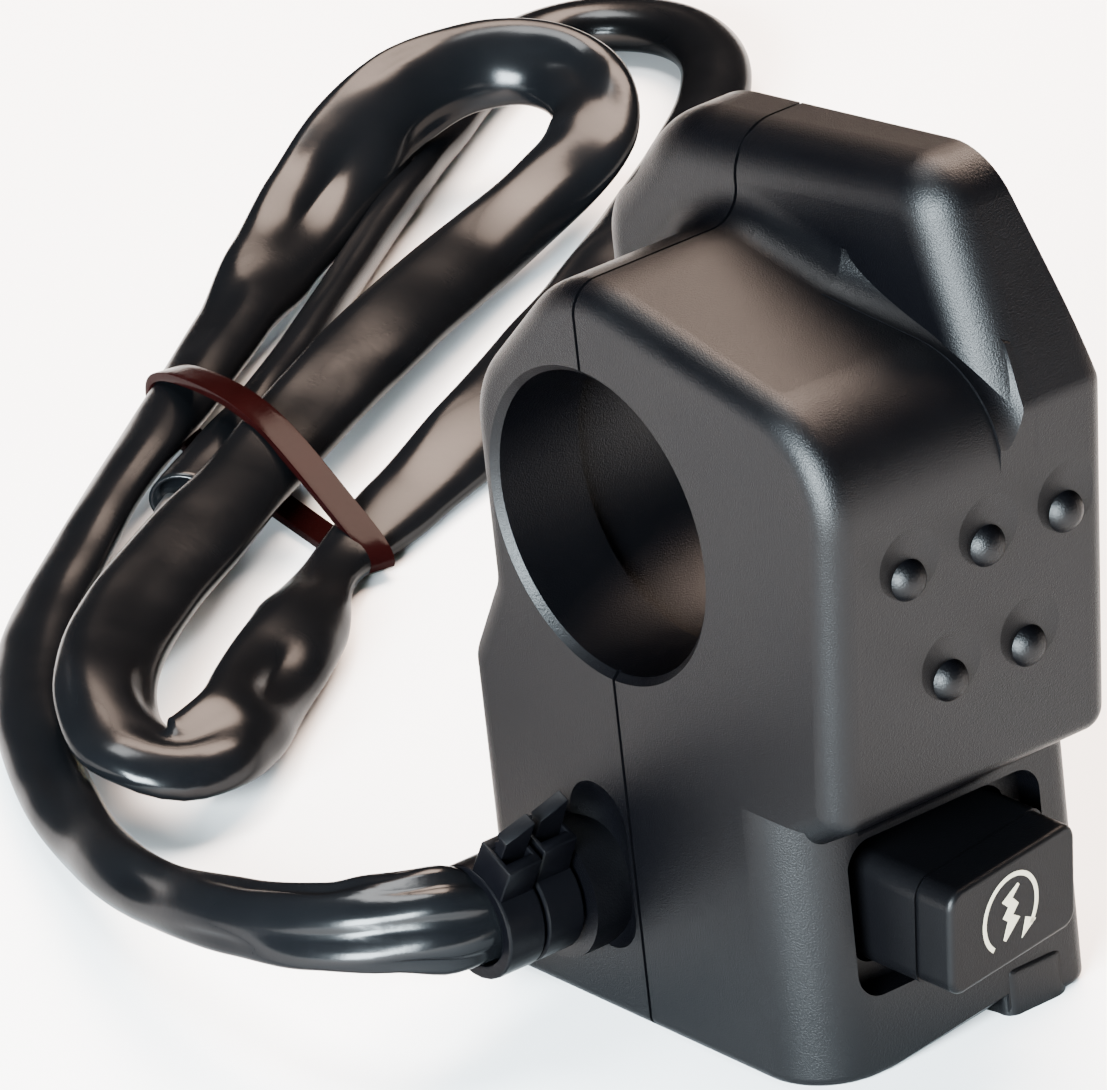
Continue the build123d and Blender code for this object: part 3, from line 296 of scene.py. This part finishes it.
def line_through(points, steps):
    """Points read from the smooth spline that has the given ones as its control points."""
    curve = bpy.data.curves.new("route", "CURVE")
    curve.dimensions = "3D"
    spline = curve.splines.new("NURBS")
    spline.points.add(len(points) - 1)
    for spline_point, point in zip(spline.points, points):
        spline_point.co = (*point, 1.0)
    spline.order_u = 3
    spline.use_endpoint_u = True
    spline.resolution_u = steps
    holder = bpy.data.objects.new("route", curve)
    bpy.context.scene.collection.objects.link(holder)
    bpy.context.view_layer.update()
    mesh = bpy.data.meshes.new_from_object(holder)
    read = [v.co.copy() for v in mesh.vertices]
    bpy.data.objects.remove(holder)
    bpy.data.curves.remove(curve)
    bpy.data.meshes.remove(mesh)
    return read


def lengths_along(points):
    """Distance of each point from the first, along the line."""
    found = [0.0]
    for a, b in zip(points, points[1:]):
        found.append(found[-1] + (b - a).length)
    return found


def evenly(points, step):
    """Points of the same line, about a step apart."""
    along = lengths_along(points)
    count = round(along[-1] / step)
    found = []
    i = 0
    for k in range(count + 1):
        s = along[-1] * k / count
        while i < len(points) - 2 and along[i + 1] < s:
            i += 1
        share = (s - along[i]) / (along[i + 1] - along[i])
        found.append(points[i].lerp(points[i + 1], share))
    return found


def smooth_value(knots, s):
    """A value between the knots (distance, value), with no kinks at them."""
    if s <= knots[0][0]:
        return knots[0][1]
    for (s0, v0), (s1, v1) in zip(knots, knots[1:]):
        if s <= s1:
            t = (s - s0) / (s1 - s0)
            return v0 + (v1 - v0) * t * t * (3 - 2 * t)
    return knots[-1][1]


def places_along(points, path):
    """Distance along the path of the spot that is nearest to each route point, in their order."""
    along = lengths_along(path)
    places = []
    i = 0
    for point in points:
        near = [k for k in range(i, len(path)) if along[k] < along[i] + LOOK_AHEAD]
        i = min(near, key=lambda k: (path[k] - point).length)
        places.append(along[i])
    return places


def fold_depth(s, angle):
    """How far the sleeve's wall is pressed in at a place, in metres."""
    depth = 0.0
    for at, half, count, deep, first in SLEEVE_FOLDS:
        away = (s / MM - at) / half
        if abs(away) < FOLD_REACH:
            ridge = 0.5 + 0.5 * math.cos(count * (angle - math.radians(first)))
            depth += deep * MM * math.exp(-away * away) * ridge ** FOLD_SHARPNESS
    return depth


def skin(mesh, rings):
    """Faces between each ring of points and the next."""
    for a, b in zip(rings, rings[1:]):
        for k in range(SLEEVE_SIDES):
            n = (k + 1) % SLEEVE_SIDES
            mesh.faces.new((a[k], a[n], b[n], b[k]))


def make_sleeve():
    """The soft flat sleeve in one piece, from the spigot to its open end in the hank."""
    points = [Vector(p[:3]) * MM for p in SLEEVE_ROUTE]
    path = evenly(line_through(points, SPLINE_STEPS), RING_STEP)
    along = lengths_along(path)
    places = places_along(points, path)
    widths = [(s, p[3] * MM) for s, p in zip(places, SLEEVE_ROUTE)]
    depths = [(s, p[4] * MM) for s, p in zip(places, SLEEVE_ROUTE)]
    rolls = [(s, math.radians(p[5])) for s, p in zip(places, SLEEVE_ROUTE)]

    mesh = bmesh.new()
    rings = []
    for i, (at, s) in enumerate(zip(path, along)):
        ahead = path[min(i + 2, len(path) - 1)] - path[max(i - 2, 0)]
        ahead.normalize()
        side = Vector((0, 0, 1)).cross(ahead).normalized()
        up = ahead.cross(side)
        roll = smooth_value(rolls, s)
        wide = side * math.cos(roll) + up * math.sin(roll)
        thin = up * math.cos(roll) - side * math.sin(roll)
        half_width = smooth_value(widths, s) / 2
        half_depth = smooth_value(depths, s) / 2
        ring = []
        for k in range(SLEEVE_SIDES):
            angle = 2 * math.pi * k / SLEEVE_SIDES
            out = wide * (half_width * math.cos(angle)) + thin * (half_depth * math.sin(angle))
            place = at + out * (1 - fold_depth(s, angle) / out.length)
            place.z = max(place.z, FLOOR_Z + ABOVE_FLOOR)
            ring.append(mesh.verts.new(place))
        rings.append(ring)
    skin(mesh, rings)

    end = path[-1]
    ahead = (end - path[-2]).normalized()
    mouth = []
    for depth in (0.0, MOUTH_DEPTH):
        mouth.append([
            mesh.verts.new(end + (v.co - end) * MOUTH_SHARE - ahead * depth) for v in rings[-1]])
    skin(mesh, [rings[-1]] + mouth)
    mesh.faces.new(list(mouth[-1]))
    mesh.faces.new(list(reversed(rings[0])))
    bmesh.ops.recalc_face_normals(mesh, faces=mesh.faces)
    data = bpy.data.meshes.new("sleeve")
    mesh.to_mesh(data)
    mesh.free()
    data.shade_smooth()
    sleeve = bpy.data.objects.new("sleeve", data)
    bpy.context.scene.collection.objects.link(sleeve)
    return sleeve, path


def make_band():
    """Flat elastic band drawn round the strands of the hank."""
    corners = len(BAND_LOOP)
    select_none()
    # Any radius will do, because every corner is moved to its place
    bpy.ops.mesh.primitive_cylinder_add(
        vertices=corners, radius=0.02, depth=BAND_WIDTH, end_fill_type="NOTHING")
    band = bpy.context.object
    band.name = "band_round_hank"
    columns = {}
    for vertex in band.data.vertices:
        turn = math.atan2(vertex.co.y, vertex.co.x) % (2 * math.pi)
        corner = round(turn / (2 * math.pi) * corners) % corners
        columns.setdefault(corner, []).append(vertex.index)
    along = Vector((math.cos(BAND_HEADING), math.sin(BAND_HEADING), 0))
    across = Vector((along.y, -along.x, 0))
    turned = Matrix((along, Vector((0, 0, 1)), across)).transposed().to_4x4()
    band.matrix_world = Matrix.Translation((*BAND_AT, 0)) @ turned
    apply_place(band)
    bpy.ops.object.mode_set(mode="EDIT")
    for i, (u, z) in enumerate(BAND_LOOP):
        place = Vector((*BAND_AT, 0)) + along * (u * MM) + Vector((0, 0, z * MM))
        move_points(band, columns[i], place)
    bpy.ops.mesh.select_all(action="SELECT")
    bpy.ops.mesh.normals_make_consistent(inside=False)
    bpy.ops.object.mode_set(mode="OBJECT")
    smooth = band.modifiers.new("rounded", "SUBSURF")
    smooth.levels = smooth.render_levels = 2
    give_wall(band, BAND_THICKNESS)
    round_edges(band, BAND_EDGE, 3)
    apply_modifiers(band)
    bpy.ops.object.shade_smooth_by_angle(angle=BAND_SMOOTH)
    return band


def make_strap():
    """A tie's strap, at X = 0 round the outlet's axis."""
    select_none()
    bpy.ops.mesh.primitive_cylinder_add(
        vertices=STRAP_SIDES, radius=CUFF_R + STRAP_THICKNESS / 2, depth=STRAP_WIDTH,
        end_fill_type="NOTHING", rotation=(0, math.pi / 2, 0))
    strap = bpy.context.object
    give_wall(strap, STRAP_THICKNESS)
    round_edges(strap, STRAP_EDGE, 2, sharper_than=50)
    apply_place(strap)
    apply_modifiers(strap)
    return strap


def make_head():
    """A tie's head on top of its strap, with its slot."""
    select_none()
    middle = STRAP_OUTSIDE + HEAD_SIZE[2] / 2 - HEAD_SUNK
    bpy.ops.mesh.primitive_cube_add(size=1, location=(0, 0, middle), scale=HEAD_SIZE)
    head = bpy.context.object
    apply_place(head)
    bpy.ops.object.mode_set(mode="EDIT")
    bpy.ops.mesh.select_all(action="DESELECT")
    pick_faces(head, lambda face: face.normal.z > 0.9)
    bpy.ops.mesh.inset(thickness=SLOT_RIM)
    bpy.ops.transform.resize(value=SLOT_SHAPE)
    bpy.ops.mesh.extrude_region_move(TRANSFORM_OT_translate={"value": (0, 0, -SLOT_DEPTH)})
    bpy.ops.object.mode_set(mode="OBJECT")
    round_edges(head, HEAD_EDGE, 3)
    apply_modifiers(head)
    return head


def make_tail():
    """A tie's tail, toothed on one face and cut off at a slant."""
    select_none()
    bpy.ops.mesh.primitive_cube_add(
        size=1, location=(0, TAIL_Y, STRAP_OUTSIDE + TAIL_LENGTH / 2),
        scale=(*TAIL_SECTION, TAIL_LENGTH))
    tail = bpy.context.object
    apply_place(tail)
    bpy.ops.object.mode_set(mode="EDIT")
    bpy.ops.mesh.select_all(action="DESELECT")
    mesh = bmesh.from_edit_mesh(tail.data)
    for edge in mesh.edges:
        way = edge.verts[0].co - edge.verts[1].co
        edge.select_set(abs(way.z) > TAIL_LENGTH / 2)
    bmesh.update_edit_mesh(tail.data)
    bpy.ops.mesh.subdivide(number_cuts=TAIL_CUTS)
    mesh = bmesh.from_edit_mesh(tail.data)
    levels = sorted({round(v.co.z, 6) for v in mesh.verts})

    def level(vertex):
        return levels.index(round(vertex.co.z, 6))

    pick_points(tail, lambda vertex: level(vertex) % 2 == 1 and vertex.co.y > 0)
    bpy.ops.transform.translate(value=(0, -TOOTH_DEPTH, 0))
    pick_points(tail, lambda vertex: level(vertex) == len(levels) - 1 and vertex.co.x > 0)
    bpy.ops.transform.translate(value=(0, 0, TAIL_SLANT))
    bpy.ops.object.mode_set(mode="OBJECT")
    round_edges(tail, TAIL_EDGE, 2)
    apply_modifiers(tail)
    return tail


def make_ties():
    """The two ties side by side on the cuff."""
    first = make_strap()
    join_pieces((make_head(), make_tail(), first), first)
    bpy.ops.object.shade_smooth_by_angle(angle=TIE_SMOOTH)
    first.name = "cable_tie_inner"
    second = first.copy()
    second.data = first.data.copy()
    second.name = "cable_tie_outer"
    bpy.context.scene.collection.objects.link(second)
    for tie, x, turn in zip((first, second), STRAP_MIDDLES, HEAD_TURNS):
        place = Matrix.Translation((x, OUTLET.y, OUTLET.z))
        tie.matrix_world = place @ Matrix.Rotation(math.radians(turn), 4, "X")
        apply_place(tie)
    return first, second


def make_symbol():
    """Start symbol printed on the button: a turning arrow round a flash."""
    outer = SYMBOL_R + SYMBOL_STROKE / 2
    inner = SYMBOL_R - SYMBOL_STROKE / 2
    select_none()
    bpy.ops.mesh.primitive_circle_add(vertices=RING_SIDES, radius=outer)
    ring = bpy.context.object
    bpy.ops.object.mode_set(mode="EDIT")
    bpy.ops.mesh.select_all(action="SELECT")
    bpy.ops.mesh.extrude_region_move()
    bpy.ops.transform.resize(value=(inner / outer, inner / outer, 1))

    def in_gap(face):
        middle = face.calc_center_median()
        turn = math.degrees(math.atan2(middle.y, middle.x)) % 360
        return RING_GAP[0] < turn < RING_GAP[1]

    pick_faces(ring, in_gap)
    bpy.ops.mesh.delete(type="FACE")
    bpy.ops.object.mode_set(mode="OBJECT")

    parts = [ring]
    for outline in (ARROW_HEAD, FLASH):
        select_none()
        # Any radius will do here too
        bpy.ops.mesh.primitive_circle_add(
            vertices=len(outline), radius=0.001, fill_type="NGON")
        piece = bpy.context.object
        bpy.ops.object.mode_set(mode="EDIT")
        for i, (x, y) in enumerate(outline):
            move_points(piece, [i], Vector((x * MM, y * MM, 0)))
        bpy.ops.object.mode_set(mode="OBJECT")
        parts.append(piece)
    join_pieces(parts, ring)
    ring.name = "start_symbol"
    bpy.ops.object.mode_set(mode="EDIT")
    bpy.ops.mesh.select_all(action="SELECT")
    bpy.ops.mesh.remove_doubles(threshold=SAME_POINT)
    bpy.ops.mesh.normals_make_consistent(inside=False)
    bpy.ops.object.mode_set(mode="OBJECT")
    give_wall(ring, INK_THICKNESS)
    apply_modifiers(ring)

    right = Vector((1, BUTTON_YAW, 0)).normalized()
    outward = Vector((BUTTON_YAW, -1, -BUTTON_LEAN)).normalized()
    up = outward.cross(right)
    turned = Matrix((right, up, outward)).transposed().to_4x4()
    place = BUTTON_MIDDLE + right * SYMBOL_PLACE[0] + up * SYMBOL_PLACE[1]
    ring.matrix_world = Matrix.Translation(place) @ turned
    apply_place(ring)
    return ring


def grain_group():
    """Node group of moulded grain: its height, a mask of rubbed patches, and a smooth swell."""
    group = bpy.data.node_groups.new("fine_grain", "ShaderNodeTree")
    for name, usual in (("Size", 0.0002), ("Patch Size", 0.01)):
        socket = group.interface.new_socket(name, in_out="INPUT", socket_type="NodeSocketFloat")
        socket.default_value = usual
    for name in ("Height", "Patches", "Swell"):
        group.interface.new_socket(name, in_out="OUTPUT", socket_type="NodeSocketFloat")
    nodes, links = group.nodes, group.links
    given = nodes.new("NodeGroupInput")
    put = nodes.new("NodeGroupOutput")
    place = nodes.new("ShaderNodeTexCoord")
    for wanted, kind, detail, roughness in (
            ("Size", "Height", 3.0, 0.6), ("Patch Size", "Patches", 4.0, 0.55),
            ("Patch Size", "Swell", 0.0, 0.0)):
        scale = nodes.new("ShaderNodeMath")
        scale.operation = "DIVIDE"
        scale.inputs[0].default_value = 1.0
        links.new(given.outputs[wanted], scale.inputs[1])
        noise = nodes.new("ShaderNodeTexNoise")
        noise.inputs["Detail"].default_value = detail
        noise.inputs["Roughness"].default_value = roughness
        links.new(place.outputs["Object"], noise.inputs["Vector"])
        links.new(scale.outputs[0], noise.inputs["Scale"])
        links.new(noise.outputs["Fac"], put.inputs[kind])
    return group


def map_range(nodes, from_range, to_range):
    """A node that carries one range of values over to another."""
    node = nodes.new("ShaderNodeMapRange")
    node.inputs["From Min"].default_value, node.inputs["From Max"].default_value = from_range
    node.inputs["To Min"].default_value, node.inputs["To Max"].default_value = to_range
    return node


def moulded(name, colour, lighter, roughness, spread, grain, bump, patch=0.012,
            shine=PLAIN_SHINE, waves=0.0):
    """Plastic with fine grain, and slightly uneven in colour and gloss.

    spread is how far the roughness changes, grain and patch are sizes in metres, bump is the
    grain's strength, shine is how strongly the surface reflects face on and edge on, and waves
    is the height of a soft unevenness.
    """
    material = bpy.data.materials.new(name)
    material.use_nodes = True
    nodes, links = material.node_tree.nodes, material.node_tree.links
    shader = nodes["Principled BSDF"]
    facing = nodes.new("ShaderNodeLayerWeight")
    facing.inputs["Blend"].default_value = 0.5
    level = map_range(nodes, VIEW_RANGE, shine)
    links.new(facing.outputs["Facing"], level.inputs["Value"])
    links.new(level.outputs["Result"], shader.inputs["Specular IOR Level"])
    shader.inputs["Specular IOR Level"].default_value = shine[0]
    texture = nodes.new("ShaderNodeGroup")
    texture.node_tree = bpy.data.node_groups["fine_grain"]
    texture.inputs["Size"].default_value = grain
    texture.inputs["Patch Size"].default_value = patch
    tint = nodes.new("ShaderNodeMix")
    tint.data_type = "RGBA"
    tint.inputs["A"].default_value = (*colour, 1)
    tint.inputs["B"].default_value = (*lighter, 1)
    links.new(texture.outputs["Patches"], tint.inputs["Factor"])
    links.new(tint.outputs["Result"], shader.inputs["Base Color"])
    gloss = map_range(nodes, PATCH_RANGE, (roughness - spread, roughness + spread))
    links.new(texture.outputs["Patches"], gloss.inputs["Value"])
    links.new(gloss.outputs["Result"], shader.inputs["Roughness"])
    if bump:
        relief = nodes.new("ShaderNodeBump")
        relief.inputs["Strength"].default_value = bump
        relief.inputs["Distance"].default_value = GRAIN_HEIGHT
        links.new(texture.outputs["Height"], relief.inputs["Height"])
        links.new(relief.outputs["Normal"], shader.inputs["Normal"])
    if waves:
        swell = nodes.new("ShaderNodeBump")
        swell.inputs["Strength"].default_value = 1.0
        swell.inputs["Distance"].default_value = waves
        links.new(texture.outputs["Swell"], swell.inputs["Height"])
        links.new(swell.outputs["Normal"], relief.inputs["Normal"])
    return material


def metal(name, colour, roughness):
    """Plain metal with fine uneven gloss."""
    lighter = tuple(min(1.0, c * METAL_LIGHTER) for c in colour)
    material = moulded(name, colour, lighter, roughness, spread=0.06, grain=0.00015, bump=0.15)
    material.node_tree.nodes["Principled BSDF"].inputs["Metallic"].default_value = 1.0
    return material


def make_finishes():
    """One material for each material slot of the record, and one for the printed symbol."""
    grain_group()
    return {
        "housing": moulded(
            "housing_moulded", (0.0004, 0.0004, 0.0006), (0.0008, 0.0008, 0.0011),
            roughness=0.34, spread=0.03, grain=0.00012, bump=0.7, shine=(0.15, 0.030)),
        "button": moulded(
            "button_moulded", (0.0008, 0.0008, 0.0010), (0.0014, 0.0014, 0.0017),
            roughness=0.40, spread=0.04, grain=0.00014, bump=0.4, shine=(0.13, 0.022)),
        "carrier": moulded(
            "carrier_nylon", (0.55, 0.53, 0.48), (0.60, 0.58, 0.52),
            roughness=0.42, spread=0.05, grain=0.0003, bump=0.2),
        "base": moulded(
            "base_board", (0.20, 0.11, 0.05), (0.26, 0.15, 0.07),
            roughness=0.5, spread=0.06, grain=0.0003, bump=0.3),
        "brass": metal("brass_plain", (0.78, 0.60, 0.28), roughness=0.3),
        "spring": metal("spring_wire", (0.60, 0.60, 0.61), roughness=0.25),
        "screw": metal("screw_zinc", (0.62, 0.62, 0.60), roughness=0.32),
        "solder": metal("solder_tin", (0.70, 0.70, 0.70), roughness=0.28),
        "lead_feed": moulded(
            "lead_black", (0.015, 0.015, 0.015), (0.02, 0.02, 0.02),
            roughness=0.35, spread=0.04, grain=0.0002, bump=0.1),
        "lead_return": moulded(
            "lead_yellow", (0.60, 0.46, 0.03), (0.66, 0.52, 0.05),
            roughness=0.35, spread=0.04, grain=0.0002, bump=0.1),
        "tie": moulded(
            "tie_nylon", (0.0006, 0.0006, 0.0009), (0.0012, 0.0012, 0.0016),
            roughness=0.34, spread=0.06, grain=0.0004, bump=0.25, shine=(0.10, 0.01)),
        "sleeve": moulded(
            "sleeve_pvc", (0.0013, 0.0015, 0.0018), (0.0026, 0.0028, 0.0033),
            roughness=0.21, spread=0.04, grain=0.0006, bump=0.12, patch=0.009,
            shine=(0.19, 0.013), waves=0.0005),
        "band": moulded(
            "band_rubber", (0.0030, 0.0006, 0.0006), (0.0062, 0.0010, 0.0010),
            roughness=0.16, spread=0.04, grain=0.0004, bump=0.15, patch=0.004,
            shine=(0.03, 0.004)),
        "tail": moulded(
            "tail_pvc", (0.015, 0.015, 0.015), (0.02, 0.02, 0.02),
            roughness=0.32, spread=0.04, grain=0.0002, bump=0.1),
        "boot": moulded(
            "boot_pvc", (0.42, 0.42, 0.40), (0.50, 0.50, 0.47),
            roughness=0.30, spread=0.05, grain=0.0004, bump=0.1),
        "print": moulded(
            "print_ink", (0.34, 0.31, 0.22), (0.40, 0.37, 0.27),
            roughness=0.55, spread=0.05, grain=0.0002, bump=0.2),
    }


def finish_in(finish, *objs):
    """Gives each object this one finish."""
    for obj in objs:
        obj.data.materials.clear()
        obj.data.materials.append(finish)


def add_camera():
    """The camera that shows the object as the photograph does."""
    data = bpy.data.cameras.new("camera")
    data.lens = CAMERA_LENS
    data.sensor_width = SENSOR_WIDTH
    data.clip_end = CAMERA_REACH
    camera = bpy.data.objects.new("camera", data)
    back = CAMERA_RIGHT.cross(CAMERA_UP)
    turned = Matrix((CAMERA_RIGHT, CAMERA_UP, back)).transposed().to_4x4()
    camera.matrix_world = Matrix.Translation(CAMERA_PLACE) @ turned
    bpy.context.scene.collection.objects.link(camera)
    bpy.context.scene.camera = camera


def add_lamp(name, direction, distance, width, height, power, colour):
    """A soft flat lamp that looks at the object from a direction."""
    data = bpy.data.lights.new(name, "AREA")
    data.shape = "RECTANGLE"
    data.size = width
    data.size_y = height
    data.energy = power
    data.color = colour
    lamp = bpy.data.objects.new(name, data)
    away = Vector(direction).normalized()
    turned = away.to_track_quat("Z", "Y").to_matrix().to_4x4()
    lamp.matrix_world = Matrix.Translation(LAMPS_LOOK_AT + away * distance) @ turned
    bpy.context.scene.collection.objects.link(lamp)


def add_floor():
    """Plain pale floor under the housing and the hank."""
    select_none()
    bpy.ops.mesh.primitive_plane_add(size=FLOOR_SIZE, location=(0, 0, FLOOR_Z))
    floor = bpy.context.object
    floor.name = "floor"
    apply_place(floor)
    pale = moulded(
        "floor_pale", (0.93, 0.93, 0.93), (0.95, 0.95, 0.95),
        roughness=0.85, spread=0.05, grain=0.002, bump=0.0, patch=0.2)
    finish_in(pale, floor)


def add_surround():
    """A dim warm surround, with a pale backdrop for the camera where the floor ends."""
    world = bpy.data.worlds.new("surround")
    world.use_nodes = True
    nodes, links = world.node_tree.nodes, world.node_tree.links
    dim = nodes["Background"]
    pale = nodes.new("ShaderNodeBackground")
    for node, (colour, strength) in ((dim, SURROUND), (pale, BACKDROP)):
        node.inputs["Color"].default_value = (*colour, 1)
        node.inputs["Strength"].default_value = strength
    ray = nodes.new("ShaderNodeLightPath")
    choice = nodes.new("ShaderNodeMixShader")
    links.new(ray.outputs["Is Camera Ray"], choice.inputs["Fac"])
    links.new(dim.outputs["Background"], choice.inputs[1])
    links.new(pale.outputs["Background"], choice.inputs[2])
    links.new(choice.outputs["Shader"], nodes["World Output"].inputs["Surface"])
    bpy.context.scene.world = world


finishes = make_finishes()
add_camera()
sleeve, sleeve_path = make_sleeve()
band = make_band()
inner_tie, outer_tie = make_ties()
symbol = make_symbol()

finish_in(finishes["sleeve"], sleeve)
finish_in(finishes["band"], band)
finish_in(finishes["tie"], inner_tie, outer_tie)
finish_in(finishes["print"], symbol)
for part in frame["record"]["subparts"]:
    finish_in(finishes[part["material_slot"]], frame["nodes"][part["node"]])

for piece in (sleeve, band, inner_tie, outer_tie):
    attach(piece, "housing")
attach(symbol, "button")
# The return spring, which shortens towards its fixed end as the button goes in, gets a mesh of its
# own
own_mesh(frame["nodes"]["return_spring"])
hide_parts("sleeve_exit", "sleeve_hank")
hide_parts("hank_band")
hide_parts("cable_ties")

add_floor()
add_surround()
for lamp in LAMPS:
    add_lamp(*lamp)
